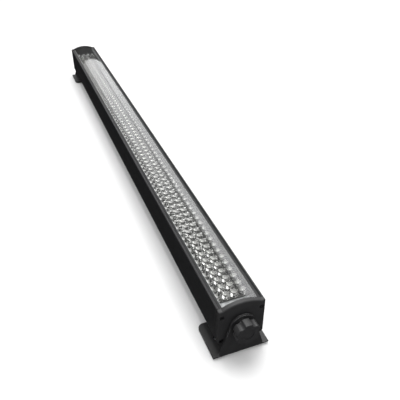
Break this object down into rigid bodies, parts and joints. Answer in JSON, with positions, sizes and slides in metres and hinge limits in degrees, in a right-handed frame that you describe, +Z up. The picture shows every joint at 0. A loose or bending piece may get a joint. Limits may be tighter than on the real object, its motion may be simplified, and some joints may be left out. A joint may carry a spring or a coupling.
{
  "type": "led light tube",
  "caption": "Long black bar light with rows of clear LEDs under an arched clear cover, on two tilting feet held by thumb knobs.",
  "frame": {"origin": "on the floor under the middle of the bar, at the bottom centre of the bounding box", "axes": "+Z up through the lens, +X along the bar, +Y towards the side with the control panel"},
  "size_m": [1.1126, 0.08, 0.0875],
  "materials": {
    "black_housing": "satin black anodised extrusion",
    "clear_cover": "clear polished polycarbonate",
    "black_rubber": "matt black rubber",
    "bare_aluminium": "mill finish",
    "led_board": "black solder mask on glass fibre board",
    "clear_led": "water-clear epoxy",
    "zinc_steel": "bright zinc plate",
    "black_screw": "black zinc plate",
    "black_moulding": "fine-textured black moulding",
    "brass_insert": "turned brass",
    "nylon_washer": "black nylon",
    "black_bracket": "black powder coat",
    "panel_black": "fine-textured black powder coat",
    "display_red": "dark red tinted acrylic",
    "display_body": "black potting",
    "green_board": "green solder mask",
    "nickel_shell": "satin nickel plate",
    "gold_pin": "gold plate",
    "clear_glass": "fuse glass",
    "grey_button": "smooth grey moulding",
    "copper_winding": "yellow tape over copper winding",
    "capacitor_sleeve": "dark blue sleeve"
  },
  "bodies": {
    "bar": {"board_carrier": "bare_aluminium", "board_screws": "zinc_steel", "button_switches": "black_moulding", "clear_cover": "clear_cover", "connector_screws": "black_screw", "control_board": "green_board", "cover_seals": "black_rubber", "display_module": "display_body", "display_window": "display_red", "dmx_in_pins": "gold_pin", "dmx_in_shell": "nickel_shell", "dmx_out_shell": "nickel_shell", "end_cap_left": "black_moulding", "end_cap_right": "black_moulding", "end_cap_screws": "black_screw", "end_gasket_left": "black_rubber", "end_gasket_right": "black_rubber", "eye_rivets": "zinc_steel", "friction_washer_left": "nylon_washer", "friction_washer_right": "nylon_washer", "fuse_holder": "black_moulding", "housing": "black_housing", "inlet_blades": "nickel_shell", "led_board_1": "led_board", "led_board_2": "led_board", "led_board_3": "led_board", "led_board_4": "led_board", "led_emitters_1": "clear_led", "led_emitters_2": "clear_led", "led_emitters_3": "clear_led", "led_emitters_4": "clear_led", "panel_plate": "panel_black", "panel_screws": "black_screw", "panel_standoffs": "zinc_steel", "pivot_insert_left": "brass_insert", "pivot_insert_right": "brass_insert", "power_inlet": "black_moulding", "safety_eye": "zinc_steel", "supply_board": "green_board", "supply_capacitors": "capacitor_sleeve", "supply_heat_sink": "bare_aluminium", "supply_standoffs": "zinc_steel", "supply_transformer": "copper_winding"},
    "foot_left": {"foot_bracket_left": "black_bracket", "foot_pads_left": "black_rubber"},
    "foot_right": {"foot_bracket_right": "black_bracket", "foot_pads_right": "black_rubber"},
    "clamp_knob_left": {"knob_left": "black_moulding", "knob_stud_left": "zinc_steel", "clamp_washer_left": "zinc_steel"},
    "clamp_knob_right": {"knob_right": "black_moulding", "knob_stud_right": "zinc_steel", "clamp_washer_right": "zinc_steel"},
    "fuse_carrier": {"fuse_cap": "black_moulding", "fuse": "clear_glass"},
    "latch_tab": {"dmx_out_latch": "nickel_shell"},
    "button_1": {"menu_button_1": "grey_button"},
    "button_2": {"menu_button_2": "grey_button"},
    "button_3": {"menu_button_3": "grey_button"},
    "button_4": {"menu_button_4": "grey_button"}
  },
  "joints": [
    {"name": "tilt_left", "type": "hinge", "parent": "bar", "child": "foot_left", "pos_m": [-0.5385, 0, 0.051], "axis": [1, 0, 0], "range_deg": [-180, 180]},
    {"name": "tilt_right", "type": "hinge", "parent": "bar", "child": "foot_right", "pos_m": [0.5385, 0, 0.051], "axis": [1, 0, 0], "range_deg": [-180, 180]},
    {"name": "clamp_left", "type": "hinge", "parent": "bar", "child": "clamp_knob_left", "pos_m": [-0.545, 0, 0.051], "axis": [1, 0, 0], "continuous": true},
    {"name": "clamp_right", "type": "hinge", "parent": "bar", "child": "clamp_knob_right", "pos_m": [0.545, 0, 0.051], "axis": [1, 0, 0], "continuous": true},
    {"name": "fuse_turn", "type": "hinge", "parent": "bar", "child": "fuse_carrier", "pos_m": [-0.449, 0.038, 0.046], "axis": [0, 1, 0], "range_deg": [0, 90]},
    {"name": "latch_press", "type": "slide", "parent": "bar", "child": "latch_tab", "axis": [0, -1, 0], "range_m": [0, 0.001], "stiffness_N_per_m": 600, "springref_m": -0.001},
    {"name": "button_1_press", "type": "slide", "parent": "bar", "child": "button_1", "axis": [0, -1, 0], "range_m": [0, 0.0008], "stiffness_N_per_m": 600, "springref_m": -0.001},
    {"name": "button_2_press", "type": "slide", "parent": "bar", "child": "button_2", "axis": [0, -1, 0], "range_m": [0, 0.0008], "stiffness_N_per_m": 600, "springref_m": -0.001},
    {"name": "button_3_press", "type": "slide", "parent": "bar", "child": "button_3", "axis": [0, -1, 0], "range_m": [0, 0.0008], "stiffness_N_per_m": 600, "springref_m": -0.001},
    {"name": "button_4_press", "type": "slide", "parent": "bar", "child": "button_4", "axis": [0, -1, 0], "range_m": [0, 0.0008], "stiffness_N_per_m": 600, "springref_m": -0.001}
  ]
}
